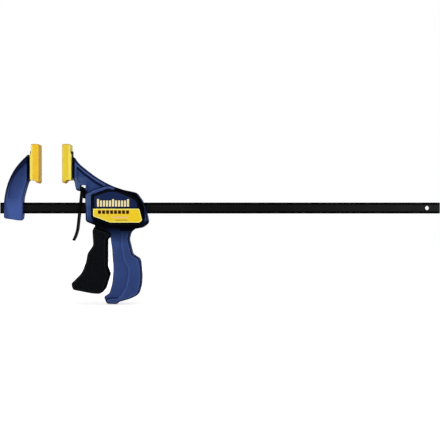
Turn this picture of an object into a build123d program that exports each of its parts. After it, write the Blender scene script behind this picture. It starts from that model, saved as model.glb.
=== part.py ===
from build123d import *
import os
from math import cos, hypot, radians, sin

# Quick release bar clamp, in millimetres. x runs along the bar from the fixed jaw towards the bar's
# free end, y runs across the clamp and z points up to the jaw tips. While modelling, x = 0 is the
# fixed pad's clamp face and z = 0 the middle of the bar. The last step moves the origin up to the
# middle of the fixed pad's clamp face.

# Opening between the pads as built: the moving jaw stands this far from the fixed one.
opening_at_rest = 22.8

# Bar
bar_length = 440.0
bar_height = 11.0
bar_thickness = 5.0
bar_front_end = 40.1
bar_edge_chamfer = 0.4
end_hole_diameter = 4.2
end_hole_from_end = 12.7

# Clearances
bar_clearance = 0.25
pin_clearance = 0.05
seat_clearance = 0.2
moving_gap = 0.4

# Clamp pads and the T rails that they slide onto
pad_width = 22.0
pad_thickness = 9.2
pad_top = 63.7
pad_top_thickness = 8.3
pad_shoulder_z = 53.4
pad_shoulder_rise = 1.0
pad_bottom = 27.7
pad_lip_bottom = 24.8
pad_lip_depth = 2.4
pad_lip_slope = 2.4
pad_edge_radius = 1.0
pad_back_wall = 2.4
pad_gap = 2.3
rail_neck_width = 8.0
rail_head_width = 14.0
rail_head_thickness = 2.2
rail_top = 56.8
rail_tip_thickness = 0.7
rail_bottom = 29.8
ledge_reach = 0.7
jaw_tip_z = 53.4
arm_tip_z = 50.4

# Fixed jaw and its cross pin
fixed_jaw_width = 18.0
fixed_jaw_recess_depth = 1.4
jaw_edge_radius = 1.6
jaw_back_radius = 3.4
jaw_pin_diameter = 4.0
jaw_pin_x = -26.2
jaw_pin_blind_wall = 4.5

# Moving jaw body, in two half shells
arm_width = 18.0
arm_recess_depth = 3.0
arm_top_radius = 2.6
pocket_x = (17.5, 23.2)
pocket_top = 23.0
housing_width = 27.0
housing_wall = 2.2
housing_edge_radius = 2.4
grip_width = 24.0
grip_wall = 2.4
grip_hollow_top = -34.5
grip_edge_radius = 2.2

# Trigger
trigger_width = 24.0
trigger_wall = 3.0
trigger_edge_radius = 2.0
trigger_panel_depth = 0.5
trigger_neck_width = 12.0
neck_slot_bottom = -32.0
trigger_travel = 12.0
trigger_boss_radius = 6.0
pivot_x = 39.8
pivot_z = 12.5
pivot_pin_diameter = 5.0
pivot_pin_length = 22.0
nose_radius = 3.5
nose_centre_x = 42.3
nose_below_bar = 5.5

# Drive plates, drive spring and the washer that it stands on
drive_plate_thickness = 2.4
drive_plate_width = 15.0
drive_plate_top = 9.0
drive_plate_bottom = -15.5
drive_plate_gap = 0.25
drive_wire = 1.2
drive_turns = 7
spring_seat_x = 76.7
washer_thickness = 1.2
washer_radius = 8.6

# Brake lever and its spring
lever_thickness = 1.9
lever_width = 14.0
lever_tilt = 6.1
lever_top_x = 19.2
lever_top_z = 20.6
lever_straight_bottom_z = -18.0
lever_tail_x = 10.5
lever_tail_z = -32.3
lever_corner_radius = 5.0
lever_knuckle_half = 4.5
brake_wire = 1.2
brake_spring_diameter = 11.0
brake_spring_z = 14.9
brake_turns = 3.5
brake_seat_depth = 3.0

# Labels
label_thickness = 0.7
label_recess = 0.9

# Screws, driven from the +y side
screw_head_diameter = 6.2
screw_head_height = 2.3
screw_shank_diameter = 3.0
screw_seat_y = 3.2
screw_end_y = -4.6
screw_recess = 2.8
screw_post_radius = 4.0
screw_places = [(16.9, 35.6), (35.0, 25.6), (59.5, -31.0), (61.0, -84.0)]

# Worked out from the values above
bar_slot_height = bar_height + 2 * bar_clearance
bar_slot_width = bar_thickness + 2 * bar_clearance
arm_front = pad_thickness + pad_gap
trigger_inner_width = trigger_width - 2 * trigger_wall
web_width = trigger_inner_width - 4 * moving_gap
neck_slot_width = trigger_neck_width + 2 * moving_gap
nose_z = -(bar_height / 2 + nose_below_bar)
plate_front_x = nose_centre_x + nose_radius + drive_plate_gap
plate_rear_x = plate_front_x + drive_plate_thickness + drive_plate_gap
drive_travel = (pivot_z - nose_z) * radians(trigger_travel)
drive_spring_front = plate_rear_x + drive_plate_thickness + drive_plate_gap
drive_spring_rear = spring_seat_x - washer_thickness - 2 * drive_plate_gap
drive_spring_radius = hypot(bar_height, bar_thickness) / 2 + moving_gap + drive_wire / 2
pad_centre_z = (pad_lip_bottom + pad_top) / 2
beyond = 60.0


def side_outline(*corners):
    """Closed outline in x and z from corners given as x, z and corner radius."""
    places = [(x, z) for x, z, radius in corners]
    return make_face(FilletPolyline(*places, radius=[radius for x, z, radius in corners], close=True))


def slab(outline, width, middle=0.0):
    """A side outline given its width in y, with its middle at y = middle."""
    return extrude(Plane.XZ.offset(-middle) * outline, amount=width / 2, both=True)


def block(x_range, y_range, z_range):
    """A plain block between two limits along each axis."""
    low, high = zip(x_range, y_range, z_range)
    size = [b - a for a, b in zip(low, high)]
    return Location(low) * Box(*size, align=(Align.MIN, Align.MIN, Align.MIN))


def cross_rod(x, z, radius, y_range):
    """A round rod along y."""
    low, high = y_range
    rod = Cylinder(radius, high - low, align=(Align.CENTER, Align.CENTER, Align.MIN))
    return Location((x, low, z), (-90, 0, 0)) * rod


def soften_sides(solid, width, radius):
    """Rounds the edges where the side faces at y = -width / 2 and width / 2 meet the rim."""
    near = solid.edges().filter_by_position(Axis.Y, -width / 2 - 0.01, -width / 2 + 0.01)
    far = solid.edges().filter_by_position(Axis.Y, width / 2 - 0.01, width / 2 + 0.01)
    return fillet(near + far, radius)


def limit_by_back(solid, back, far_corners, width, radius):
    """Gives a slab a larger edge radius along its curved back. The far corners close the back's outline."""
    outline = make_face([back, Polyline(back @ 1, *far_corners, back @ 0)])
    room = block((-2 * beyond, 2 * beyond), (-width, width), (-2 * beyond, 2 * beyond))
    return solid - (room - soften_sides(slab(outline, width), width, radius))


def bar_passage(x_range):
    """The slot that the bar runs in."""
    return block(
        x_range,
        (-bar_slot_width / 2, bar_slot_width / 2),
        (-bar_slot_height / 2, bar_slot_height / 2),
    )


def coil(radius, wire, length, turns):
    """A coil spring along +x from x = 0 to x = length, its wire middle at the given radius."""
    height = length - wire
    path = Helix(height / turns, height, radius)
    section = Plane(origin=path @ 0, z_dir=path % 0) * Circle(wire / 2)
    spring = sweep(section, path=path)
    return Location((wire / 2, 0, 0), (0, 90, 0)) * spring


# ---------------------------------------------------------------- bar


def make_bar():
    rear_end = bar_length - bar_front_end
    bar = block(
        (-bar_front_end, rear_end),
        (-bar_thickness / 2, bar_thickness / 2),
        (-bar_height / 2, bar_height / 2),
    )
    bar = chamfer(bar.edges(), bar_edge_chamfer)
    across = (-bar_thickness, bar_thickness)
    bar -= cross_rod(rear_end - end_hole_from_end, 0, end_hole_diameter / 2, across)
    bar -= cross_rod(jaw_pin_x, 0, jaw_pin_diameter / 2 + pin_clearance, across)
    return bar


# ---------------------------------------------------------------- pads and rails


def make_pad():
    """A pad with its clamp face at x = 0 and its T slot open at the bottom."""
    outline = side_outline(
        (0, pad_lip_bottom, 1.8),
        (pad_lip_depth, pad_lip_bottom, 0.9),
        (pad_lip_depth + pad_lip_slope, pad_bottom, 1.6),
        (pad_thickness, pad_bottom, 1.3),
        (pad_thickness, pad_shoulder_z, 1.0),
        (pad_top_thickness, pad_shoulder_z + pad_shoulder_rise, 1.0),
        (pad_top_thickness, pad_top, 1.6),
        (0, pad_top, 1.6),
    )
    pad = soften_sides(slab(outline, pad_width), pad_width, pad_edge_radius)
    head_back = pad_thickness - pad_back_wall
    head_front = head_back - rail_head_thickness - 2 * seat_clearance
    slot_z = (pad_lip_bottom - 1, rail_top + seat_clearance)
    neck = rail_neck_width / 2 + seat_clearance
    head = rail_head_width / 2 + seat_clearance
    pad -= block((head_front, pad_thickness + 1), (-neck, neck), slot_z)
    pad -= block((head_front, head_back), (-head, head), slot_z)
    return pad


def make_rail():
    """The T rail behind a pad whose clamp face is at x = 0."""
    head_back = pad_thickness - pad_back_wall - seat_clearance
    head_front = head_back - rail_head_thickness
    neck_outline = side_outline(
        (head_front, rail_bottom, 0),
        (head_front, rail_top, 0),
        (pad_thickness + rail_tip_thickness, rail_top, 0.6),
        (pad_thickness + rail_tip_thickness, arm_tip_z + 1, 0),
        (arm_front + 1, arm_tip_z - 1, 0),
        (arm_front + 1, rail_bottom, 0),
    )
    half = rail_head_width / 2
    head = block((head_front, head_back), (-half, half), (rail_bottom, rail_top))
    return slab(neck_outline, rail_neck_width) + head


def make_pad_ledge():
    """The small step below the rail, under a pad whose clamp face is at x = 0."""
    top = rail_bottom - seat_clearance
    ledge = side_outline(
        (arm_front - ledge_reach, top, 0.4),
        (arm_front + 2, top, 0),
        (arm_front + 2, top - 4.6, 0),
        (arm_front - ledge_reach, top - 1.8, 0.8),
    )
    return slab(ledge, fixed_jaw_width - 2 * jaw_edge_radius)


# ---------------------------------------------------------------- fixed jaw


def make_fixed_jaw():
    face_x = -arm_front
    tip = (face_x, jaw_tip_z)
    back = Spline(
        tip, (-23.0, 41.4), (-31.2, 26.4), (-34.7, 13.2), (-35.7, 2.0), tangents=[(-1, -0.85), (0, -1)]
    )
    throat = Spline((-16.9, 6.5), (-14.9, 17.0), (face_x, 27.8), tangents=[(0, 1), (0.4, 1)])
    rest = Line(throat @ 1, tip)
    foot = FilletPolyline(
        back @ 1, (-35.7, -10.2), (-17.6, -13.0), (-16.9, -6.5), throat @ 0, radius=[2.6, 3.4, 6.0]
    )
    jaw = slab(make_face([back, foot, throat, rest]), fixed_jaw_width)
    jaw = soften_sides(jaw, fixed_jaw_width, jaw_edge_radius)
    far_corners = [((back @ 1).X, -beyond), (beyond, -beyond), (beyond, beyond), (face_x, beyond)]
    jaw = limit_by_back(jaw, back, far_corners, fixed_jaw_width, jaw_back_radius)
    recess_back = Spline((-15.2, 45.2), (-24.2, 34.0), (-29.4, 21.0), (-31.0, 9.2))
    recess_front = Spline((-21.2, 9.2), (-19.4, 18.5), (-15.2, 29.5))
    recess_foot = Line(recess_back @ 1, recess_front @ 0)
    recess_top = Line(recess_front @ 1, recess_back @ 0)
    recess = make_face([recess_back, recess_foot, recess_front, recess_top])
    recess = fillet(recess.vertices(), 2.0)
    for side in (-1, 1):
        jaw -= slab(recess, 2 * fixed_jaw_recess_depth, side * fixed_jaw_width / 2)
    jaw += mirror(make_rail() + make_pad_ledge(), about=Plane.YZ)
    jaw -= bar_passage((-beyond, 0))
    pin_hole = jaw_pin_diameter / 2 + pin_clearance
    jaw -= cross_rod(jaw_pin_x, 0, pin_hole, (-jaw_pin_blind_wall, fixed_jaw_width))
    return jaw


def make_fixed_jaw_pin():
    low = -jaw_pin_blind_wall + pin_clearance
    high = fixed_jaw_width / 2 - 0.3
    pin = cross_rod(jaw_pin_x, 0, jaw_pin_diameter / 2, (low, high))
    return chamfer(pin.edges().filter_by(GeomType.CIRCLE), 0.4)


# ---------------------------------------------------------------- moving jaw body
# From here on x = 0 is the moving pad's clamp face.

housing_outline = side_outline(
    (23.0, 14.0, 3.0),
    (31.2, 18.6, 10.0),
    (45.7, 23.2, 9.0),
    (61.2, 18.0, 25.0),
    (73.8, 15.4, 7.0),
    (79.6, 7.2, 12.0),
    (84.3, -6.4, 16.0),
    (85.9, -14.6, 3.5),
    (80.2, -19.4, 7.0),
    (70.2, -21.2, 6.0),
    (49.2, -19.8, 12.0),
    (31.8, -16.8, 8.0),
    (23.6, -13.4, 3.2),
)

label_outline = side_outline(
    (28.9, 13.2, 2.5),
    (46.0, 19.4, 8.0),
    (64.5, 14.8, 6.0),
    (75.0, 9.0, 4.0),
    (81.9, -13.0, 2.5),
    (78.0, -17.2, 3.0),
    (47.6, -17.2, 6.0),
    (28.9, -9.4, 2.5),
)

grip_back_corners = [
    (57.2, -93.3, 4.0),
    (68.4, -90.1, 20.0),
    (76.0, -86.2, 7.0),
    (78.7, -76.0, 15.0),
    (79.1, -67.0, 30.0),
    (78.2, -55.0, 14.0),
    (76.8, -50.4, 3.5),
    (69.9, -46.0, 5.0),
    (66.2, -31.0, 8.0),
    (68.0, -24.0, 6.0),
    (74.0, -19.0, 3.0),
    (74.0, -12.0, 0.0),
]

web_outline = side_outline(
    (43.7, -12.0, 0.0),
    (43.7, -27.0, 1.0),
    (48.0, -29.2, 1.6),
    (49.6, -41.0, 25.0),
    (50.9, -62.0, 60.0),
    (49.8, -75.0, 25.0),
    (47.0, -84.8, 5.0),
    (41.4, -88.6, 2.0),
    (44.2, -95.2, 2.6),
    (54.2, -95.7, 3.0),
    *grip_back_corners,
)

rim_outline = side_outline(
    (58.0, -12.0, 0.0),
    (58.0, -38.0, 6.0),
    (61.4, -54.0, 4.0),
    (65.2, -60.5, 3.0),
    (65.2, -67.0, 6.0),
    (62.6, -79.5, 4.0),
    (57.0, -88.4, 3.0),
    (43.2, -89.8, 2.8),
    (44.2, -95.2, 2.7),
    (54.2, -95.7, 3.0),
    *grip_back_corners,
)


def make_arm():
    """The jaw arm: an I section with its rims along the top and the pad side."""
    top = Spline(
        (arm_front, arm_tip_z), (14.4, 46.0), (21.1, 39.9), (31.8, 31.8), (46.3, 23.5), (56.5, 19.2),
    )
    under = FilletPolyline(
        top @ 1, (56.5, 8.0), (24.0, 8.0), (24.0, 17.0), (13.9, 17.0), (arm_front, 28.4), top @ 0,
        radius=[0, 0, 0, 2.8, 6.0],
    )
    arm = slab(make_face([top, under]), arm_width)
    arm = soften_sides(arm, arm_width, jaw_edge_radius)
    far_corners = [(beyond, -beyond), (-beyond, -beyond), (-beyond, beyond), (arm_front, beyond)]
    arm = limit_by_back(arm, top, far_corners, arm_width, arm_top_radius)
    arm += make_pad_ledge()
    arm -= block(pocket_x, (-arm_width, arm_width), (0, pocket_top))
    recess = side_outline(
        (14.4, 29.0, 1.5), (14.4, 42.2, 1.0), (21.6, 35.4, 20.0), (32.0, 27.6, 20.0), (44.0, 20.4, 0),
        (44.0, 12.0, 0), (24.6, 12.0, 0), (24.6, 25.0, 1.5), (16.6, 25.0, 1.5),
    )
    for side in (-1, 1):
        arm -= slab(recess, 2 * arm_recess_depth, side * arm_width / 2)
    return arm + make_rail()


def make_mechanism_space():
    """Everything that the body leaves open for the bar, the trigger, the springs and the plates."""
    inner_width = housing_width - 2 * housing_wall
    room = side_outline(
        (28.2, 12.4, 1.5),
        (32.0, 16.6, 3.0),
        (45.6, 21.3, 6.0),
        (61.0, 15.6, 10.0),
        (spring_seat_x, 11.6, 1.5),
        (spring_seat_x, -17.0, 1.5),
        (50.0, -17.0, 3.0),
        (28.2, -12.6, 1.5),
    )
    space = slab(room, inner_width)
    space += bar_passage((0, beyond * 2))
    sweep_angle = radians(trigger_travel)
    neck_rear = pivot_x + 5.0 * cos(sweep_angle) + (pivot_z + 26.0) * sin(sweep_angle) + 2 * moving_gap
    neck_half = neck_slot_width / 2
    space += block((31.0, neck_rear), (-neck_half, neck_half), (neck_slot_bottom, -12.0))
    seat = Cylinder(brake_spring_diameter / 2 + moving_gap, brake_seat_depth + 1)
    space += Location((23.0 + (brake_seat_depth - 1) / 2, 0, brake_spring_z), (0, 90, 0)) * seat
    return space


def make_grip_space():
    """The hollow of the grip."""
    rim_space = slab(offset(rim_outline, -grip_wall), grip_width - 2 * grip_wall)
    web_space = slab(offset(web_outline, -grip_wall), web_width - 2 * housing_wall)
    below_the_neck = block((0, beyond * 2), (-beyond, beyond), (-beyond * 2, grip_hollow_top))
    return (rim_space + web_space) & below_the_neck


def make_body():
    """Both half shells as one, before the parting cut."""
    housing = soften_sides(slab(housing_outline, housing_width), housing_width, housing_edge_radius)
    web = soften_sides(slab(web_outline, web_width), web_width, 1.0)
    rim = soften_sides(slab(rim_outline, grip_width), grip_width, grip_edge_radius)
    outside = housing + web + rim + make_arm()
    body = outside - make_mechanism_space() - make_grip_space()
    for x, z in screw_places[2:]:
        body += cross_rod(x, z, screw_post_radius, (-beyond, beyond)) & outside
    boss_inner = trigger_neck_width / 2 + moving_gap
    boss_outer = housing_width / 2 - housing_wall + 0.1
    for low, high in ((-boss_outer, -boss_inner), (boss_inner, boss_outer)):
        body += cross_rod(pivot_x, pivot_z, trigger_boss_radius, (low, high))
    pin_half = pivot_pin_length / 2 + seat_clearance
    body -= cross_rod(pivot_x, pivot_z, pivot_pin_diameter / 2 + pin_clearance, (-pin_half, pin_half))
    for side in (-1, 1):
        body -= slab(label_outline, 2 * label_recess, side * housing_width / 2)
    return body


def make_shells():
    """The left half (y below 0) with blind screw holes, and the right half with head recesses."""
    body = make_body()
    left = body & block((-beyond, beyond * 3), (-beyond, 0), (-beyond * 2, beyond * 2))
    right = body & block((-beyond, beyond * 3), (0, beyond), (-beyond * 2, beyond * 2))
    for x, z in screw_places:
        hole = screw_shank_diameter / 2 + pin_clearance
        left -= cross_rod(x, z, hole, (screw_end_y - seat_clearance, 1))
        right -= cross_rod(x, z, hole, (-1, screw_seat_y + 1))
        head_hole = screw_head_diameter / 2 + seat_clearance
        right -= cross_rod(x, z, head_hole, (screw_seat_y, housing_width))
    return left, right


def make_screw(x, z):
    """A pan head screw with a cross recess."""
    head = cross_rod(x, z, screw_head_diameter / 2, (screw_seat_y, screw_seat_y + screw_head_height))
    head = fillet(head.edges().group_by(Axis.Y)[-1], 0.9)
    shank = cross_rod(x, z, screw_shank_diameter / 2, (screw_end_y, screw_seat_y + 0.1))
    shank = chamfer(shank.edges().group_by(Axis.Y)[0], 0.8)
    screw = head + shank
    depth = (screw_seat_y + screw_head_height - 1.3, screw_seat_y + screw_head_height + 1)
    arm = screw_recess / 2
    blade = 0.45
    screw -= block((x - arm, x + arm), depth, (z - blade, z + blade))
    screw -= block((x - blade, x + blade), depth, (z - arm, z + arm))
    return screw


def make_label(side):
    """The plate in the recess on one side of the housing."""
    inner = housing_width / 2 - label_recess + 0.05
    plate = slab(offset(label_outline, -0.15), label_thickness, side * (inner + label_thickness / 2))
    return plate


# ---------------------------------------------------------------- trigger


def make_trigger():
    handle_outline = side_outline(
        (31.9, -18.9, 0.6),
        (30.2, -22.6, 3.0),
        (31.1, -37.0, 6.0),
        (25.4, -45.3, 6.0),
        (24.0, -53.5, 10.0),
        (19.5, -64.8, 14.0),
        (9.1, -75.4, 2.8),
        (10.9, -81.4, 3.2),
        (29.4, -85.0, 14.0),
        (38.2, -85.6, 4.5),
        (42.6, -80.2, 5.0),
        (47.1, -66.0, 2.8),
        (44.3, -58.5, 5.0),
        (44.3, -31.4, 2.4),
        (48.2, -28.0, 1.9),
        (48.2, -24.9, 1.2),
    )
    handle = soften_sides(slab(handle_outline, trigger_width), trigger_width, trigger_edge_radius)
    front_inner = 31.0 + trigger_wall
    channel_outline = side_outline(
        (front_inner + 0.8, -15.0, 0),
        (front_inner, -36.0, 6.0),
        (28.4, -46.0, 6.0),
        (27.0, -54.2, 10.0),
        (22.3, -66.4, 14.0),
        (13.4, -75.0, 1.5),
        (14.0, -79.4, 1.5),
        (23.2, -81.0, 0),
        (23.2, -100.0, 0),
        (beyond, -100.0, 0),
        (beyond, -15.0, 0),
    )
    trigger = handle - slab(channel_outline, trigger_inner_width)
    panel_outline = side_outline(
        (35.6, -38.5, 3.0),
        (29.2, -47.4, 5.0),
        (27.6, -55.0, 8.0),
        (23.0, -67.0, 12.0),
        (13.8, -76.0, 2.0),
        (14.8, -78.9, 2.0),
        (35.0, -82.3, 2.5),
        (39.2, -78.6, 4.0),
        (43.8, -66.0, 2.0),
        (40.6, -58.0, 4.0),
        (40.6, -38.5, 3.0),
    )
    for side in (-1, 1):
        trigger -= slab(panel_outline, 2 * trigger_panel_depth, side * trigger_width / 2)
    neck_outline = side_outline(
        (32.4, -34.0, 0),
        (32.2, -16.0, 6.0),
        (34.0, -8.0, 8.0),
        (34.0, 10.0, 2.0),
        (37.0, pivot_z, 0),
        (42.0, pivot_z, 0),
        (45.0, 8.0, 2.0),
        (45.0, -7.0, 2.0),
        (44.7, -16.0, 3.0),
        (44.7, -26.0, 2.0),
        (35.4, -34.0, 0),
    )
    neck = slab(neck_outline, trigger_neck_width)
    half = trigger_neck_width / 2
    neck += cross_rod(pivot_x, pivot_z, trigger_boss_radius, (-half, half))
    neck += cross_rod(nose_centre_x, nose_z, nose_radius, (-half, half))
    trigger += neck
    slot_half = bar_thickness / 2 + 1.5 * moving_gap
    slot_bottom = -(bar_height / 2 + nose_below_bar - nose_radius + 1.0)
    slot_top = bar_height / 2 + 3 * moving_gap
    trigger -= block((0, beyond), (-slot_half, slot_half), (slot_bottom, slot_top))
    trigger -= cross_rod(pivot_x, pivot_z, pivot_pin_diameter / 2 + pin_clearance, (-half - 1, half + 1))
    return trigger


def make_pivot_pin():
    half = pivot_pin_length / 2
    pin = cross_rod(pivot_x, pivot_z, pivot_pin_diameter / 2, (-half, half))
    return chamfer(pin.edges().filter_by(GeomType.CIRCLE), 0.4)


# ---------------------------------------------------------------- drive plates and spring


def make_drive_plate(front_x):
    half = drive_plate_width / 2
    plate = block(
        (front_x, front_x + drive_plate_thickness), (-half, half), (drive_plate_bottom, drive_plate_top)
    )
    plate = fillet(plate.edges().filter_by(Axis.X), 1.5)
    return plate - bar_passage((0, beyond * 2))


def make_spring_washer():
    washer = Location((spring_seat_x - washer_thickness / 2 - drive_plate_gap / 2, 0, 0), (0, 90, 0))
    washer = washer * Cylinder(washer_radius, washer_thickness)
    return washer - bar_passage((0, beyond * 2))


def make_drive_spring():
    spring = coil(drive_spring_radius, drive_wire, drive_spring_rear - drive_spring_front, drive_turns)
    return Location((drive_spring_front, 0, 0)) * spring


# ---------------------------------------------------------------- brake lever and spring


def lever_x(z):
    """Middle of the lever's straight part at height z."""
    return lever_top_x - (lever_top_z - z) * sin(radians(lever_tilt)) / cos(radians(lever_tilt))


def make_brake_lever():
    top = (lever_top_x, lever_top_z)
    knee = (lever_x(lever_straight_bottom_z), lever_straight_bottom_z)
    straight = Line(top, knee)
    tail = TangentArc(knee, (lever_tail_x, lever_tail_z), tangent=straight % 1)
    plate = slab(trace([straight, tail], lever_thickness), lever_width)
    front_view = RectangleRounded(
        lever_width, lever_top_z - lever_tail_z + 2.4, lever_corner_radius
    )
    middle = (lever_top_z + lever_tail_z) / 2
    plate &= extrude(Plane.YZ * Location((0, middle)) * front_view, amount=beyond, both=True)
    slot_half = bar_thickness / 2 + bar_clearance
    slot_top = bar_height / 2 + bar_clearance + 0.15
    plate -= block((0, beyond), (-slot_half, slot_half), (-slot_top, slot_top))
    knuckle = (-lever_knuckle_half, lever_knuckle_half)
    return plate + cross_rod(lever_top_x, lever_top_z, lever_thickness / 2, knuckle)


def make_brake_spring():
    front = lever_x(brake_spring_z) + lever_thickness / 2 + 0.35
    rear = 23.0 + brake_seat_depth - 0.1
    radius = brake_spring_diameter / 2 - brake_wire / 2
    return Location((front, 0, brake_spring_z)) * coil(radius, brake_wire, rear - front, brake_turns)


# ---------------------------------------------------------------- write the pieces

left_body_shell, right_body_shell = make_shells()
pad = make_pad()

still_pieces = {
    "bar": make_bar(),
    "fixed_jaw": make_fixed_jaw(),
    "fixed_jaw_pin": make_fixed_jaw_pin(),
    "fixed_jaw_pad": mirror(pad, about=Plane.YZ),
}

moving_pieces = {
    "left_body_shell": left_body_shell,
    "right_body_shell": right_body_shell,
    "moving_jaw_pad": pad,
    "body_screws": Compound([make_screw(x, z) for x, z in screw_places]),
    "left_label": make_label(-1),
    "right_label": make_label(1),
    "trigger": make_trigger(),
    "trigger_pivot_pin": make_pivot_pin(),
    "drive_plate_front": make_drive_plate(plate_front_x),
    "drive_plate_rear": make_drive_plate(plate_rear_x),
    "drive_spring": make_drive_spring(),
    "spring_washer": make_spring_washer(),
    "brake_lever": make_brake_lever(),
    "brake_spring": make_brake_spring(),
}

os.makedirs("parts", exist_ok=True)
for name, piece in still_pieces.items():
    export_step(Location((0, 0, -pad_centre_z)) * piece, f"parts/{name}.step")
for name, piece in moving_pieces.items():
    export_step(Location((opening_at_rest, 0, -pad_centre_z)) * piece, f"parts/{name}.step")
print("origin above the bar middle", pad_centre_z, "drive travel", round(drive_travel, 3))
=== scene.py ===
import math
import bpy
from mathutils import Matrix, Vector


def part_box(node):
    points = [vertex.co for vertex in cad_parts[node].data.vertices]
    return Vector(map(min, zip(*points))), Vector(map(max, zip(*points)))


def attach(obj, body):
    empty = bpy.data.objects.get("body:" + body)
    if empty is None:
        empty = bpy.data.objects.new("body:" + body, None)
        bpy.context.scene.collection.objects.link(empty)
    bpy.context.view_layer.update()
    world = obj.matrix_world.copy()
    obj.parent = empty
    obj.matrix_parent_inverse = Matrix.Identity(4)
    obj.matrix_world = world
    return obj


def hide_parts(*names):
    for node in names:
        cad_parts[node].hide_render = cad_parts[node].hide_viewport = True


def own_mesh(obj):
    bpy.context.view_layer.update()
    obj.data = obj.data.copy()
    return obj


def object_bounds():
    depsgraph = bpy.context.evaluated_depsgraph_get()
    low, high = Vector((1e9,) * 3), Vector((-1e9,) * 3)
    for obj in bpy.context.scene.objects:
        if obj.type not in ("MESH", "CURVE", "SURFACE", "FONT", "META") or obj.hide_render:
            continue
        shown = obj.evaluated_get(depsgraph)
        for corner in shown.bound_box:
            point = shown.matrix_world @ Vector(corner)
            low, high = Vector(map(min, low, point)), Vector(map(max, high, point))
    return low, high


bl_info = {
    "name": "Quick Release Bar Clamp",
    "version": (1, 0, 0),
    "blender": (4, 5, 0),
    "location": "3D View > Sidebar > Clamp",
    "description": "Finishes, printed labels, springs and studio for a one-handed bar clamp",
    "category": "Object",
}

import bpy
from bpy.props import FloatProperty, FloatVectorProperty, IntProperty, PointerProperty
from mathutils import Vector

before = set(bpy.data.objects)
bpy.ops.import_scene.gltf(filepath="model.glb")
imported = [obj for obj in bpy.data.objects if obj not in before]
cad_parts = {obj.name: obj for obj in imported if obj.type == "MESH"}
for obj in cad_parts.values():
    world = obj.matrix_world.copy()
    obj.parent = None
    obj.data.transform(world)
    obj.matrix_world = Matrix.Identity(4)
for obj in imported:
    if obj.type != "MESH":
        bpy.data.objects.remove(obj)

MM = 0.001


def srgb(red, green, blue):
    """A display colour of 0 to 255 as the linear colour that a shader takes."""
    shares = (red / 255, green / 255, blue / 255)
    return tuple(c / 12.92 if c <= 0.04045 else ((c + 0.055) / 1.055) ** 2.4 for c in shares)


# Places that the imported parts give, in metres
BOUNDS_AT_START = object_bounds()
LEFT_LABEL_LOW, LEFT_LABEL_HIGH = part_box("left_label")
_, RIGHT_LABEL_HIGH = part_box("right_label")
BRAKE_SPRING_LOW, BRAKE_SPRING_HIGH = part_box("brake_spring")
DRIVE_SPRING_LOW, DRIVE_SPRING_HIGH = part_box("drive_spring")
BAR_LOW, BAR_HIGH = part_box("bar")
BAR_MIDDLE = (BAR_LOW.z + BAR_HIGH.z) / 2
MOVING_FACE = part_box("moving_jaw_pad")[0].x

# How much the springs shorten at their joints' limits, and how far the brake spring reaches out of its box
BRAKE_SPRING_TRAVEL = 0.9 * MM
DRIVE_SPRING_TRAVEL = 5.0 * MM
BRAKE_SPRING_REACH = 0.7 * MM


def colour(name, description, default):
    """A colour setting."""
    return FloatVectorProperty(
        name=name, description=description, subtype="COLOR", size=3, min=0, max=1, default=default
    )


def length(name, description, default):
    """A length setting in metres."""
    return FloatProperty(
        name=name, description=description, subtype="DISTANCE", unit="LENGTH", default=default
    )


def power(name, description, default):
    """A lamp's power setting in watts."""
    return FloatProperty(name=name, description=description, unit="POWER", default=default)


def unitless(name, description, default):
    """A setting without a unit."""
    return FloatProperty(name=name, description=description, default=default)


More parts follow.
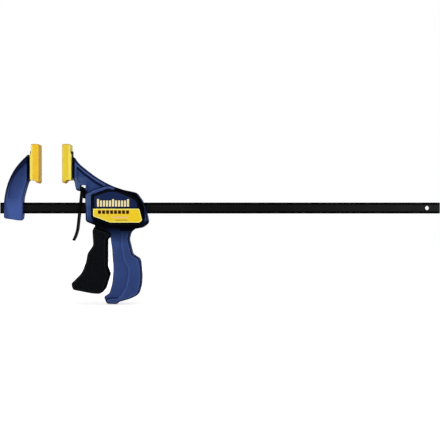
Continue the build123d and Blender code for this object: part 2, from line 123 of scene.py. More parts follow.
class ClampColours(bpy.types.PropertyGroup):
    """Colours of the clamp's finishes."""

    body_blue: colour("Body blue", "Moulded housing, arm and grip", srgb(51, 70, 122))
    # Painted light: the fixed jaw's foot is lighter
    jaw_painted_light_blue: colour("Jaw blue", "Foot of the fixed jaw", srgb(70, 92, 158))
    # Painted highlight on the housing's front strip and on the arm's column
    painted_highlight_blue: colour("Strip blue", "Front strip of the housing", srgb(92, 112, 146))
    # Painted light on the edge between the grip's rim and its web
    grip_step: colour("Grip step", "Edge between the grip's rim and its web", srgb(57, 78, 134))
    # Painted shade on the rims and in the grooves of the blue parts; also the dark parting line of the
    # shells
    painted_shade_and_seam_blue: colour("Shade blue", "Rims and grooves of the blue parts", srgb(8, 16, 44))
    # Scuffs on the blue parts, and the painted highlight along their rounded edges
    body_scuff: colour("Body scuff", "Worn and lit edges of the blue parts", srgb(112, 128, 178))
    # Painted shade round the label, under the housing and in the seats behind the pads
    painted_shade_black: colour("Surround", "Dark inlay round the label", srgb(2, 4, 10))
    pad_yellow: colour("Pad yellow", "Pad of the fixed jaw", srgb(240, 196, 52))
    pad_lemon: colour("Pad lemon", "Pad of the moving jaw", srgb(233, 206, 60))
    # Painted shade on the pads' gripping faces, tops and feet; also their darker patches
    pad_painted_shade_and_patches: colour("Pad shade", "Gripping faces and ends of the pads", srgb(196, 142, 58))
    # Painted highlight on the pads' rounded edges
    pad_painted_highlight: colour("Pad edge", "Rounded edges of the pads", srgb(255, 240, 124))
    # Painted highlight along the pads' backs
    pad_back_painted_highlight: colour("Pad back", "Band along the back of the pads", srgb(250, 238, 118))
    trigger_black: colour("Trigger black", "Moulded trigger", srgb(15, 16, 19))
    # Scuffs on the trigger, and the painted highlight along its rounded edges
    trigger_scuff_and_highlight: colour("Trigger scuff", "Worn edges of the trigger", srgb(52, 55, 60))
    bar_black: colour("Bar black", "Oxide finish of the flat bar", srgb(19, 19, 20))
    # Painted shade on the bar's upper and lower corners
    bar_painted_corner_shade: colour("Bar edge", "Dark corners of the flat bar", srgb(1, 1, 1))
    bar_worn: colour("Bar worn", "Draw lines and worn edges of the bar", srgb(70, 72, 76))
    lever_steel: colour("Lever steel", "Brake lever and drive plates", srgb(10, 10, 12))
    lever_worn: colour("Lever worn", "Worn edges of the lever and the plates", srgb(40, 42, 46))
    wire_worn: colour("Wire worn", "Draw lines of the dark wire", srgb(60, 62, 66))
    bright_steel: colour("Bright steel", "Springs", srgb(150, 152, 152))
    bright_worn: colour("Bright worn", "Draw lines of the bright wire", srgb(214, 214, 210))
    zinc: colour("Zinc", "Screws, pins and the washer", srgb(176, 176, 172))
    zinc_worn: colour("Zinc worn", "Worn edges of the zinc parts", srgb(210, 210, 206))
    label_black: colour("Label black", "Ground that the fields are printed on", srgb(2, 4, 8))
    label_blue: colour("Label blue", "Upper field of the label", srgb(26, 40, 80))
    label_yellow: colour("Label yellow", "Lower field at its front", srgb(236, 204, 60))
    label_gold: colour("Label gold", "Lower field at its rear", srgb(244, 208, 34))
    label_border: colour("Label border", "Rim of the lower field", srgb(252, 240, 132))
    label_cream: colour("Label cream", "Scale marks on the upper field", srgb(244, 228, 172))
    label_brown: colour("Label brown", "Dashes on the lower field", srgb(66, 24, 2))
    label_peach: colour("Label peach", "Broad line on the lower field", srgb(240, 196, 132))
    label_olive: colour("Label olive", "Thin line on the lower field", srgb(166, 146, 50))


class ClampSizes(bpy.types.PropertyGroup):
    """Sizes of what is modelled here."""

    print_step: length("Print step", "How far each printed layer stands over the one below", 0.03 * MM)
    field_corner: length("Field corner", "Corner radius of the label's fields", 0.9 * MM)
    border_width: length("Border width", "Width of the lower field's pale rim", 0.8 * MM)
    mark_width: length("Mark width", "Width of a scale mark", 2.0 * MM)
    mark_height: length("Mark height", "Height of a long scale mark", 7.4 * MM)
    mark_count: IntProperty(name="Mark count", description="Scale marks on the label", default=11, min=2)
    dash_width: length("Dash width", "Width of a dash on the lower field", 3.0 * MM)
    dash_height: length("Dash height", "Height of a dash on the lower field", 3.5 * MM)
    dash_count: IntProperty(name="Dash count", description="Dashes on the lower field", default=8, min=2)
    brake_wire: length("Brake wire", "Wire of the brake spring", 1.2 * MM)
    brake_turns: unitless("Brake turns", "Open turns of the brake spring", 3.0)
    drive_wire: length("Drive wire", "Wire of the drive spring", 1.2 * MM)
    drive_turns: unitless("Drive turns", "Open turns of the drive spring", 6.0)


class ClampStage(bpy.types.PropertyGroup):
    """Camera, floor and lamps."""

    camera_distance: length("Camera distance", "From the clamp's middle plane to the camera", 1.3)
    camera_x: length("Camera place", "Where along the bar the camera stands", 179.85 * MM)
    camera_above_bar: length("Camera height", "Camera over the bar's middle", -11.98 * MM)
    view_width: length("View width", "Width of the view at the clamp's middle plane", 440.85 * MM)
    key_power: power("Key power", "Large lamp beside the camera", 8.5)
    fill_power: power("Fill power", "Lamp low on the left", 2.0)
    top_power: power("Top power", "Lamp overhead", 1.5)
    rear_power: power("Rear power", "Lamp behind the clamp", 7.0)
    sky_strength: unitless("Sky strength", "Light from all round", 0.3)
    floor_glow: unitless("Floor glow", "Whiteness added to the seen floor", 0.62)
    far_glow: unitless("Far glow", "Whiteness added to the floor's far part", 0.86)


# ---------------------------------------------------------------- modelling steps


def deselect_all():
    """Leaves edit mode and clears the selection."""
    if bpy.context.object and bpy.context.object.mode != "OBJECT":
        bpy.ops.object.mode_set(mode="OBJECT")
    bpy.ops.object.select_all(action="DESELECT")


def make_active(piece):
    """Selects one piece alone."""
    deselect_all()
    piece.select_set(True)
    bpy.context.view_layer.objects.active = piece


def merged_copy(node_name, name):
    """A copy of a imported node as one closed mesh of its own."""
    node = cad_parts[node_name]
    piece = bpy.data.objects.new(name, node.data.copy())
    bpy.context.scene.collection.objects.link(piece)
    make_active(piece)
    bpy.ops.object.mode_set(mode="EDIT")
    bpy.ops.mesh.select_all(action="SELECT")
    bpy.ops.mesh.customdata_custom_splitnormals_clear()
    bpy.ops.mesh.remove_doubles(threshold=1e-6)
    bpy.ops.object.mode_set(mode="OBJECT")
    return piece


def side_panel(name, corners, outer_y, depth, rounding):
    """A thin panel on the clamp's side from its corners in x and z, with rounded corners."""
    deselect_all()
    bpy.ops.mesh.primitive_circle_add(vertices=len(corners), fill_type="NGON")
    piece = bpy.context.object
    piece.name = name
    for vertex, (x, z) in zip(piece.data.vertices, corners):
        vertex.co = (x, outer_y, z)
    bpy.ops.object.mode_set(mode="EDIT")
    bpy.ops.mesh.select_all(action="SELECT")
    if rounding:
        bpy.ops.mesh.bevel(affect="VERTICES", offset=rounding, segments=5)
    bpy.ops.mesh.select_all(action="SELECT")
    bpy.ops.mesh.extrude_region_move(TRANSFORM_OT_translate={"value": (0, depth, 0)})
    bpy.ops.mesh.select_all(action="SELECT")
    bpy.ops.mesh.normals_make_consistent(inside=False)
    bpy.ops.object.mode_set(mode="OBJECT")
    return piece


def join(pieces, name):
    """Several pieces as one."""
    deselect_all()
    for piece in pieces:
        piece.select_set(True)
    bpy.context.view_layer.objects.active = pieces[0]
    if len(pieces) > 1:
        bpy.ops.object.join()
    bpy.context.object.name = name
    return bpy.context.object


def settle(piece, body, material, replaced=()):
    """Gives a piece its finish and its body."""
    piece.data.materials.clear()
    piece.data.materials.append(material)
    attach(piece, body)
    if replaced:
        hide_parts(*replaced)
    return piece


def dress(node_name, material):
    """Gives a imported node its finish."""
    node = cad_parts[node_name]
    node.data.materials.clear()
    node.data.materials.append(material)


# ---------------------------------------------------------------- shader groups


def group_of(name, inputs, outputs):
    """A shader group with its input and output nodes, or with None for them if it was made before."""
    if name in bpy.data.node_groups:
        return bpy.data.node_groups[name], None, None
    group = bpy.data.node_groups.new(name, "ShaderNodeTree")
    for socket, kind, default in inputs:
        made = group.interface.new_socket(name=socket, in_out="INPUT", socket_type=kind)
        if default is not None:
            made.default_value = default
    for socket, kind in outputs:
        group.interface.new_socket(name=socket, in_out="OUTPUT", socket_type=kind)
    return group, group.nodes.new("NodeGroupInput"), group.nodes.new("NodeGroupOutput")


def add_node(tree, kind, **values):
    """A shader node with its settings. A name of an input socket sets that socket's value."""
    node = tree.nodes.new(kind)
    for key, value in values.items():
        if hasattr(node, key):
            setattr(node, key, value)
        else:
            node.inputs[key.replace("_", " ")].default_value = value
    return node


def math_node(tree, operation, *values):
    """A maths node whose values are numbers or sockets. Gives its output."""
    node = add_node(tree, "ShaderNodeMath", operation=operation)
    for place, value in zip(node.inputs, values):
        if isinstance(value, bpy.types.NodeSocket):
            tree.links.new(value, place)
        else:
            place.default_value = value
    return node.outputs["Value"]


def remap(tree, value, low, high, new_low=0.0, new_high=1.0):
    """Value from low..high to new_low..new_high, held at the ends."""
    node = add_node(tree, "ShaderNodeMapRange")
    node.clamp = True
    tree.links.new(value, node.inputs["Value"])
    for name, number in (("From Min", low), ("From Max", high), ("To Min", new_low), ("To Max", new_high)):
        node.inputs[name].default_value = number
    return node.outputs["Result"]


def mix_colours(tree, share, first, second):
    """Two colours, numbers or sockets, mixed by a socket's share."""
    node = add_node(tree, "ShaderNodeMix", data_type="RGBA")
    tree.links.new(share, node.inputs[0])
    for place, value in ((node.inputs[6], first), (node.inputs[7], second)):
        if isinstance(value, bpy.types.NodeSocket):
            tree.links.new(value, place)
        else:
            place.default_value = (*value, 1.0)
    return node.outputs[2]


FLOAT = "NodeSocketFloat"
VECTOR = "NodeSocketVector"


def distance_from_lines(tree, place, corners, farthest=True, closed=True):
    """How far a place lies outside, or above, straight lines through corners given as x and z."""
    count = len(corners)
    middle = sum((Vector(corner) for corner in corners), Vector((0, 0))) / count
    total = None
    for index in range(count if closed else count - 1):
        start, end = Vector(corners[index]), Vector(corners[(index + 1) % count])
        outward = Vector((end.y - start.y, start.x - end.x)).normalized()
        facing = outward.dot(start - middle) if closed else outward.y
        if facing < 0:
            outward = -outward
        reach = add_node(tree, "ShaderNodeVectorMath", operation="DOT_PRODUCT")
        tree.links.new(place, reach.inputs[0])
        reach.inputs[1].default_value = (outward.x, 0, outward.y)
        distance = math_node(tree, "SUBTRACT", reach.outputs["Value"], outward.dot(start))
        if total is None:
            total = distance
        else:
            total = math_node(tree, "MAXIMUM" if farthest else "MINIMUM", total, distance)
    return total


def in_millimetres(tree, place, start_x, start_z):
    """A place as a vector in millimetres, its x and z from starts given in metres."""
    moved = add_node(tree, "ShaderNodeVectorMath", operation="MULTIPLY_ADD")
    tree.links.new(place, moved.inputs[0])
    moved.inputs[1].default_value = (1 / MM, 1 / MM, 1 / MM)
    moved.inputs[2].default_value = (-start_x / MM, 0, -start_z / MM)
    return moved.outputs["Vector"]


def axes_of(tree, place):
    """A vector's axes by name, its y without a sign, as from the clamp's middle plane to either side."""
    axes = add_node(tree, "ShaderNodeSeparateXYZ")
    tree.links.new(place, axes.inputs["Vector"])
    across = math_node(tree, "ABSOLUTE", axes.outputs["Y"])
    return {"x": axes.outputs["X"], "y": across, "z": axes.outputs["Z"]}


def product(tree, *masks):
    """Masks and shares multiplied together."""
    total = masks[0]
    for mask in masks[1:]:
        total = math_node(tree, "MULTIPLY", total, mask)
    return total


def largest(tree, *masks):
    """The largest of several masks."""
    total = masks[0]
    for mask in masks[1:]:
        total = math_node(tree, "MAXIMUM", total, mask)
    return total


def span_mask(tree, value, ends):
    """A mask from 0 at the first end to 1 at the second, and from 1 at a third to 0 at a fourth."""
    mask = remap(tree, value, ends[0], ends[1])
    if len(ends) == 4:
        mask = product(tree, mask, remap(tree, value, ends[3], ends[2]))
    return mask


def zone_masks(tree, axes, zones):
    """Masks of zones by name. A zone is a share and a span for each axis that limits it."""
    masks = {}
    for name, (share, limits) in zones.items():
        spans = [span_mask(tree, axes[axis], ends) for axis, ends in limits.items()]
        masks[name] = product(tree, *spans, share)
    return masks


# Rounded edges, as the share of their normal that points across the clamp: painted shade once they have
# turned as far as each finish sets, and a painted highlight just before. The edge faces, which point
# across least, stay clear.
RIM_TURNS_FROM = 0.96
RIM_CLEAR_FACES = (0.05, 0.3)
RIM_LIGHT_SPAN = (0.957, 0.965, 0.99, 0.998)


def rim_group():
    """Masks of the rounded edges between the sides and the edge faces: the painted shade and the painted
    highlight.
    """
    group, given, made = group_of(
        "Rounded edges",
        [("Turned", FLOAT, 0.8)],
        [("Dark", FLOAT), ("Light", FLOAT)],
    )
    if given is None:
        return group
    surface = add_node(group, "ShaderNodeNewGeometry")
    across = axes_of(group, surface.outputs["Normal"])["y"]
    turned = add_node(group, "ShaderNodeMapRange", From_Min=RIM_TURNS_FROM)
    group.links.new(across, turned.inputs["Value"])
    group.links.new(given.outputs["Turned"], turned.inputs["From Max"])
    dark = product(group, turned.outputs["Result"], span_mask(group, across, RIM_CLEAR_FACES))
    group.links.new(dark, made.inputs["Dark"])
    group.links.new(span_mask(group, across, RIM_LIGHT_SPAN), made.inputs["Light"])
    return group


def grain_group():
    """Fine moulded texture: height and a faint tone."""
    group, given, made = group_of(
        "Moulded grain",
        [("Vector", VECTOR, None), ("Scale", FLOAT, 2200.0), ("Patch scale", FLOAT, 45.0)],
        [("Height", FLOAT), ("Tone", FLOAT)],
    )
    if given is None:
        return group
    fine = add_node(group, "ShaderNodeTexNoise", Detail=3.0, Roughness=0.6)
    cells = add_node(group, "ShaderNodeTexVoronoi", feature="SMOOTH_F1", Smoothness=0.6)
    patches = add_node(group, "ShaderNodeTexNoise", Detail=4.0, Roughness=0.55)
    for node in (fine, cells, patches):
        group.links.new(given.outputs["Vector"], node.inputs["Vector"])
    group.links.new(given.outputs["Scale"], fine.inputs["Scale"])
    group.links.new(given.outputs["Scale"], cells.inputs["Scale"])
    group.links.new(given.outputs["Patch scale"], patches.inputs["Scale"])
    height = math_node(group, "MULTIPLY_ADD", cells.outputs["Distance"], 0.5, fine.outputs["Fac"])
    group.links.new(height, made.inputs["Height"])
    group.links.new(patches.outputs["Fac"], made.inputs["Tone"])
    return group


# Likeness of the bevelled and the true normal, on a face and at a sharp edge
EDGE_LIKENESS = (0.985, 0.86)
# Noise that breaks the wear up
WEAR_NOISE = (0.42, 0.62)


def wear_group():
    """Mask of the sharp outer edges, broken up by noise."""
    group, given, made = group_of(
        "Edge wear",
        [("Vector", VECTOR, None), ("Radius", FLOAT, 0.0006), ("Break up", FLOAT, 260.0)],
        [("Mask", FLOAT)],
    )
    if given is None:
        return group
    bevel = add_node(group, "ShaderNodeBevel", samples=4)
    group.links.new(given.outputs["Radius"], bevel.inputs["Radius"])
    surface = add_node(group, "ShaderNodeNewGeometry")
    likeness = add_node(group, "ShaderNodeVectorMath", operation="DOT_PRODUCT")
    group.links.new(bevel.outputs["Normal"], likeness.inputs[0])
    group.links.new(surface.outputs["Normal"], likeness.inputs[1])
    edge = span_mask(group, likeness.outputs["Value"], EDGE_LIKENESS)
    noise = add_node(group, "ShaderNodeTexNoise", Detail=5.0, Roughness=0.65)
    group.links.new(given.outputs["Vector"], noise.inputs["Vector"])
    group.links.new(given.outputs["Break up"], noise.inputs["Scale"])
    broken = span_mask(group, noise.outputs["Fac"], WEAR_NOISE)
    group.links.new(math_node(group, "MULTIPLY", edge, broken), made.inputs["Mask"])
    return group


# Noise that counts as a scratch
SCRATCH_NOISE = (0.6, 0.72)


def scratch_group():
    """Long fine scratches along x: height and mask."""
    group, given, made = group_of(
        "Draw lines",
        [("Vector", VECTOR, None), ("Along", FLOAT, 12.0), ("Across", FLOAT, 2600.0)],
        [("Height", FLOAT), ("Mask", FLOAT)],
    )
    if given is None:
        return group
    stretch = add_node(group, "ShaderNodeCombineXYZ")
    group.links.new(given.outputs["Along"], stretch.inputs["X"])
    group.links.new(given.outputs["Across"], stretch.inputs["Y"])
    group.links.new(given.outputs["Across"], stretch.inputs["Z"])
    place = add_node(group, "ShaderNodeVectorMath", operation="MULTIPLY")
    group.links.new(given.outputs["Vector"], place.inputs[0])
    group.links.new(stretch.outputs["Vector"], place.inputs[1])
    noise = add_node(group, "ShaderNodeTexNoise", Scale=1.0, Detail=3.0, Roughness=0.7)
    group.links.new(place.outputs["Vector"], noise.inputs["Vector"])
    group.links.new(noise.outputs["Fac"], made.inputs["Height"])
    group.links.new(span_mask(group, noise.outputs["Fac"], SCRATCH_NOISE), made.inputs["Mask"])
    return group


# ---------------------------------------------------------------- finishes


def new_finish(name):
    """A material with one Principled shader, with its tree, its shader and its Object coordinates."""
    material = bpy.data.materials.new(name)
    material.use_nodes = True
    tree = material.node_tree
    tree.nodes.clear()
    output = tree.nodes.new("ShaderNodeOutputMaterial")
    shader = tree.nodes.new("ShaderNodeBsdfPrincipled")
    shader.inputs["Specular IOR Level"].default_value = LOW_GLOSS
    tree.links.new(shader.outputs["BSDF"], output.inputs["Surface"])
    place = tree.nodes.new("ShaderNodeTexCoord").outputs["Object"]
    return material, tree, shader, place


def place_group(tree, group, place, **values):
    """A shader group in a material, fed with a place where it takes one."""
    node = tree.nodes.new("ShaderNodeGroup")
    node.node_tree = group
    if place is not None:
        tree.links.new(place, node.inputs["Vector"])
    for key, value in values.items():
        node.inputs[key.replace("_", " ")].default_value = value
    return node


def add_bump(tree, shader, height, distance):
    """Bump from a height, with its distance in metres."""
    bump = add_node(tree, "ShaderNodeBump", Distance=distance)
    tree.links.new(height, bump.inputs["Height"])
    tree.links.new(bump.outputs["Normal"], shader.inputs["Normal"])


def add_grain(tree, shader, place, sizes):
    """Grain of the given sizes with its bump. Gives its tone."""
    scale, depth, patch_scale = sizes
    grain = place_group(tree, grain_group(), place, Scale=scale, Patch_scale=patch_scale)
    add_bump(tree, shader, grain.outputs["Height"], depth)
    return grain.outputs["Tone"]


def shade(values, factor):
    """A darker or lighter copy of a colour."""
    return tuple(min(1.0, c * factor) for c in values)


def cover(tree, ground, tint, *masks):
    """A ground with a tint over it, as far as masks and shares say."""
    return mix_colours(tree, product(tree, *masks), ground, tint)


# Low enough that no side mirrors the white surroundings
LOW_GLOSS = 0.012
# Ranges that hold most of a noise's values
NOISE_RANGE = (0.3, 0.7)
WIDE_NOISE_RANGE = (0.2, 0.8)
SPECK_NOISE_RANGE = (0.35, 0.65)

# Grains: scale, depth of the bump in metres and scale of the patches
SHELL_GRAIN = (1500.0, 0.00004, 42.0)
TRIGGER_GRAIN = (1100.0, 0.00009, 520.0)
PAD_GRAIN = (1500.0, 0.00003, 70.0)
PRINT_GRAIN = (900.0, 0.000008, 120.0)
# How much lighter and darker the patches are than the base
SHELL_CONTRAST = 0.16
TRIGGER_CONTRAST = 0.5
STEEL_CONTRAST = 0.2
# How bright the painted shade on the trigger's rounded edges, and the print's specks, are beside the base
TRIGGER_RIM_SHADE = 0.1
SPECK_SHADE = 0.6

# Shares from 0 to 1 of the tints that lie over a base. The RIM shares are of the painted shade on
# rounded edges and the LIT_EDGE shares of the painted highlight beside it.
SHELL_RIM = 0.85
JAW_RIM = 0.75
TRIGGER_RIM = 0.9
RESIN_LIT_EDGE = 0.35
RESIN_SCUFF = 0.22
PAD_LIT_EDGE = 0.8
PAD_PATCHES = 0.12
STEEL_SCRATCHES = 0.12
STEEL_WORN_EDGE = 0.3
PRINT_SPECKS = 0.12

# Roughness, from patch to patch where there are two
RESIN_ROUGHNESS = (0.72, 0.84)
PAD_ROUGHNESS = 0.6
PRINT_ROUGHNESS = 0.4

# Steels: metallic share, roughness and depth of the draw lines in metres
OXIDE_STEEL = (0.15, 0.6, 0.00002)
OILED_STEEL = (0.0, 0.85, 0.000015)
ZINC_STEEL = (0.9, 0.34, 0.00001)
BRIGHT_WIRE = (0.9, 0.3, 0.000008)
DARK_WIRE = (0.0, 0.6, 0.000008)
# How much rougher a steel is in its draw lines and how much smoother between them
LINES_ROUGHER, LINES_SMOOTHER = 0.08, 0.06


def resin_finish(name, base, sizes, contrast, scuff_and_highlight, rim, rim_share, zones=None):
    """Moulded resin: fine texture, faint patches, painted shade and a painted highlight on its rounded
    edges, and scuffs.

    sizes are the grain's. rim is the tint of the painted shade on the rounded edges, and the scuffs' tint
    also paints the highlight beside it. zones adds the piece's own painted light and shade, and other
    tints.
    """
    material, tree, shader, place = new_finish(name)
    patches = add_grain(tree, shader, place, sizes)
    wear = place_group(tree, wear_group(), place, Radius=0.0005, Break_up=420.0)
    edges = place_group(tree, rim_group(), None)
    tone = span_mask(tree, patches, NOISE_RANGE)
    ground = mix_colours(tree, tone, shade(base, 1 - contrast), shade(base, 1 + contrast))
    # Painted highlight just inside the rounded edges, then painted shade where they turn away
    ground = cover(tree, ground, scuff_and_highlight, edges.outputs["Light"], RESIN_LIT_EDGE)
    ground = cover(tree, ground, rim, edges.outputs["Dark"], rim_share)
    ground = cover(tree, ground, scuff_and_highlight, wear.outputs["Mask"], RESIN_SCUFF)
    if zones:
        ground = zones(tree, place, ground)
    tree.links.new(ground, shader.inputs["Base Color"])
    satin = remap(tree, patches, *WIDE_NOISE_RANGE, *RESIN_ROUGHNESS)
    tree.links.new(satin, shader.inputs["Roughness"])
    return material


def steel_finish(name, base, worn, steel, zones=None):
    """Drawn steel: lines along x and worn edges. zones adds the piece's own tints, such as painted shade.
    """
    metallic, roughness, line_depth = steel
    material, tree, shader, place = new_finish(name)
    lines = place_group(tree, scratch_group(), place, Along=14.0, Across=2400.0)
    wear = place_group(tree, wear_group(), place, Radius=0.0004, Break_up=180.0)
    patches = place_group(tree, grain_group(), place, Scale=1800.0, Patch_scale=30.0)
    tone = span_mask(tree, patches.outputs["Tone"], NOISE_RANGE)
    ground = mix_colours(tree, tone, shade(base, 1 - STEEL_CONTRAST), shade(base, 1 + STEEL_CONTRAST))
    ground = cover(tree, ground, worn, lines.outputs["Mask"], STEEL_SCRATCHES)
    if zones:
        ground = zones(tree, place, ground)
    ground = cover(tree, ground, worn, wear.outputs["Mask"], STEEL_WORN_EDGE)
    tree.links.new(ground, shader.inputs["Base Color"])
    shader.inputs["Metallic"].default_value = metallic
    ends = (roughness + LINES_ROUGHER, roughness - LINES_SMOOTHER)
    satin = remap(tree, lines.outputs["Height"], *NOISE_RANGE, *ends)
    tree.links.new(satin, shader.inputs["Roughness"])
    add_bump(tree, shader, lines.outputs["Height"], line_depth)
    return material


def print_finish(name, base, rear_base=None):
    """Printed film, whose colour may drift along x to another."""
    material, tree, shader, place = new_finish(name)
    patches = add_grain(tree, shader, place, PRINT_GRAIN)
    ground = base
    if rear_base is not None:
        drift = remap(tree, axes_of(tree, place)["x"], LEFT_LABEL_LOW.x, LEFT_LABEL_HIGH.x)
        ground = mix_colours(tree, drift, base, rear_base)
    specks = span_mask(tree, patches, SPECK_NOISE_RANGE)
    ground = cover(tree, ground, shade(base, SPECK_SHADE), specks, PRINT_SPECKS)
    tree.links.new(ground, shader.inputs["Base Color"])
    shader.inputs["Roughness"].default_value = PRINT_ROUGHNESS
    return material


# Zones of a piece that take a tint, most of them painted light or shade: a share from 0 to 1, and the span
# of each axis that limits it, in millimetres. In all of them y is from the clamp's middle plane.

# Pads: x from the moving pad's face, out from the nearer gripping face, z from the pads' middle. moving is
# the moving pad's own colour, back a painted highlight, and face, top and foot painted shade.
PAD_ZONES = {
    "moving": (1.0, {"x": (-8.0, -4.0)}),
    "back": (0.6, {"out": (6.1, 6.9, 9.3, 10.1)}),
    "face": (0.45, {"out": (0.9, 0.3)}),
    "top": (0.7, {"z": (17.6, 19.2)}),
    "foot": (0.7, {"z": (-16.2, -18.6)}),
}
# Shells: x from the moving pad's face, z from the bar's middle, above the arm's groove, outside the
# label's surround, and turned as the normal's x. groove is painted shadow under the arm's rim, strip and
# column a painted highlight, foot painted shade, grip_step painted light, seat painted shadow behind the
# pad, neck and corner the painted shadow under the housing, the ring round the label painted shade, and
# seam the dark parting line.
BODY_ZONES = {
    "groove": (0.92, {"x": (46, 43), "y": (8.8, 8.5), "above": (-2.8, -1.9, 0.6, 1.5)}),
    "strip": (0.25, {"x": (29.4, 28.8), "y": (10, 12.5), "z": (0, 4, 12, 16)}),
    "column": (0.35, {"x": (26, 17), "z": (17, 20, 29, 32)}),
    "foot": (0.75, {"x": (24, 20), "z": (20.5, 17.5)}),
    "grip_step": (1.0, {"x": (49, 52), "y": (9.4, 9.9), "z": (-20, -24), "turned": (-0.05, -0.3)}),
    "seat": (0.9, {"x": (13.0, 11.6)}),
    "neck": (0.92, {"z": (-36, -21.5, -14, -11)}),
    "corner": (0.9, {"x": (62, 46), "z": (-34, -25, -16, -7)}),
    "label_ring_shade": (1.0, {"y": (9, 11), "outside": (0.4, -0.4)}),
    "seam": (1.0, {"y": (0.22, 0.08)}),
}
# Fixed jaw: x from its pad's face, z from the bar's middle, away from the centre of its back's arc. foot
# is painted light, rim and fading painted shade, and seat painted shadow behind the pad.
JAW_ZONES = {
    "foot": (0.85, {"z": (34, 2)}),
    "rim": (1.0, {"away": (45.4, 48.2)}),
    "fading": (0.45, {"away": (31, 47), "z": (-2, 14)}),
    "seat": (0.9, {"x": (-13.2, -11.8), "z": (24, 27)}),
}
JAW_ARC_CENTRE = (14.7, 5.4)
# Height at which the painted shade on the rim starts to grow, height at which it is full, and both shares
JAW_RIM_RISE = (-4, 26, 0.35, 0.92)
# Flat bar: x from the fixed pad's face, inside from the bar's upper or lower edge. corner is painted
# shade.
BAR_ZONES = {
    "corner": (1.0, {"inside": (2.6, 1.7)}),
    "paler": (0.012, {"x": (240, BAR_HIGH.x / MM)}),
}

# Outlines on the clamp's side in millimetres, as x from the moving pad's face and z from the bar's middle
SURROUND = [
    (29.6, -10.0), (29.6, 13.6), (55.9, 21.0), (67.8, 27.7), (79.8, 9.4),
    (82.2, -3.0), (83.0, -10.0), (80.8, -15.2), (73.8, -22.9), (35.6, -22.9),
]
ARM_GROOVE = [(14.4, 42.2), (21.6, 35.4), (32.0, 27.6), (44.0, 20.4)]


def pad_finish():
    """Soft moulded pad: satin, faint stipple, painted shade at its gripping face, top and foot, painted
    highlights on its edges.
    """
    colours = bpy.context.scene.clamp_colours
    material, tree, shader, place = new_finish("Soft yellow")
    patches = add_grain(tree, shader, place, PAD_GRAIN)
    edges = place_group(tree, rim_group(), None, Turned=0.7)
    axes = axes_of(tree, in_millimetres(tree, place, MOVING_FACE, 0.0))
    half_throat = MOVING_FACE / 2 / MM
    from_middle = math_node(tree, "ABSOLUTE", math_node(tree, "ADD", axes["x"], half_throat))
    axes["out"] = math_node(tree, "SUBTRACT", from_middle, half_throat)
    masks = zone_masks(tree, axes, PAD_ZONES)
    ground = mix_colours(tree, masks["moving"], colours.pad_yellow, colours.pad_lemon)
    tone = span_mask(tree, patches, NOISE_RANGE)
    ground = cover(tree, ground, colours.pad_painted_shade_and_patches, tone, PAD_PATCHES)
    # Painted highlight on the rounded edges and along the back
    ground = cover(tree, ground, colours.pad_painted_highlight, edges.outputs["Light"], PAD_LIT_EDGE)
    ground = cover(tree, ground, colours.pad_back_painted_highlight, masks["back"])
    # Painted shade on the gripping face, top and foot
    shaded = largest(tree, masks["face"], masks["top"], masks["foot"])
    ground = cover(tree, ground, colours.pad_painted_shade_and_patches, shaded)
    tree.links.new(ground, shader.inputs["Base Color"])
    shader.inputs["Roughness"].default_value = PAD_ROUGHNESS
    return material


def body_zones(tree, place, ground):
    """Painted light and shade of the shells, from the arm's groove to the ring round the label, and the
    parting line.
    """
    colours = bpy.context.scene.clamp_colours
    near = in_millimetres(tree, place, MOVING_FACE, BAR_MIDDLE)
    surface = add_node(tree, "ShaderNodeNewGeometry")
    axes = axes_of(tree, near)
    axes["above"] = distance_from_lines(tree, near, ARM_GROOVE, farthest=False, closed=False)
    axes["outside"] = distance_from_lines(tree, near, SURROUND)
    axes["turned"] = axes_of(tree, surface.outputs["Normal"])["x"]
    masks = zone_masks(tree, axes, BODY_ZONES)
    # Painted shadow in the arm's groove, under its rim
    ground = cover(tree, ground, colours.painted_shade_and_seam_blue, masks["groove"])
    # Painted highlight on the housing's front strip and the arm's column
    ground = cover(tree, ground, colours.painted_highlight_blue, largest(tree, masks["strip"], masks["column"]))
    # Painted shade on the moving jaw's lower front
    ground = cover(tree, ground, colours.painted_shade_and_seam_blue, masks["foot"])
    # Painted light on the grip's step
    ground = cover(tree, ground, colours.grip_step, masks["grip_step"])
    # Painted shadow in the gap behind the moving pad
    ground = cover(tree, ground, colours.painted_shade_black, masks["seat"])
    # Painted shadow under the housing
    ground = cover(tree, ground, colours.painted_shade_black, largest(tree, masks["neck"], masks["corner"]))
    # Painted shade round the label
    ground = cover(tree, ground, colours.painted_shade_black, masks["label_ring_shade"])
    return cover(tree, ground, colours.painted_shade_and_seam_blue, masks["seam"])


def jaw_zones(tree, place, ground):
    """Painted light and shade of the fixed jaw: lighter foot, painted shade on the back rim and in the
    seat of the pad.
    """
    colours = bpy.context.scene.clamp_colours
    near = in_millimetres(tree, place, 0.0, BAR_MIDDLE)
    flat = add_node(tree, "ShaderNodeVectorMath", operation="MULTIPLY")
    tree.links.new(near, flat.inputs[0])
    flat.inputs[1].default_value = (1, 0, 1)
    away = add_node(tree, "ShaderNodeVectorMath", operation="DISTANCE")
    tree.links.new(flat.outputs["Vector"], away.inputs[0])
    away.inputs[1].default_value = (JAW_ARC_CENTRE[0], 0, JAW_ARC_CENTRE[1])
    axes = axes_of(tree, near)
    axes["away"] = away.outputs["Value"]
    masks = zone_masks(tree, axes, JAW_ZONES)
    # Painted light on the foot
    ground = cover(tree, ground, colours.jaw_painted_light_blue, masks["foot"])
    rim = product(tree, masks["rim"], remap(tree, axes["z"], *JAW_RIM_RISE))
    # Painted shade on the back rim, and fading inwards
    ground = cover(tree, ground, colours.painted_shade_and_seam_blue, largest(tree, rim, masks["fading"]))
    # Painted shadow in the pad's seat
    return cover(tree, ground, colours.painted_shade_black, masks["seat"])


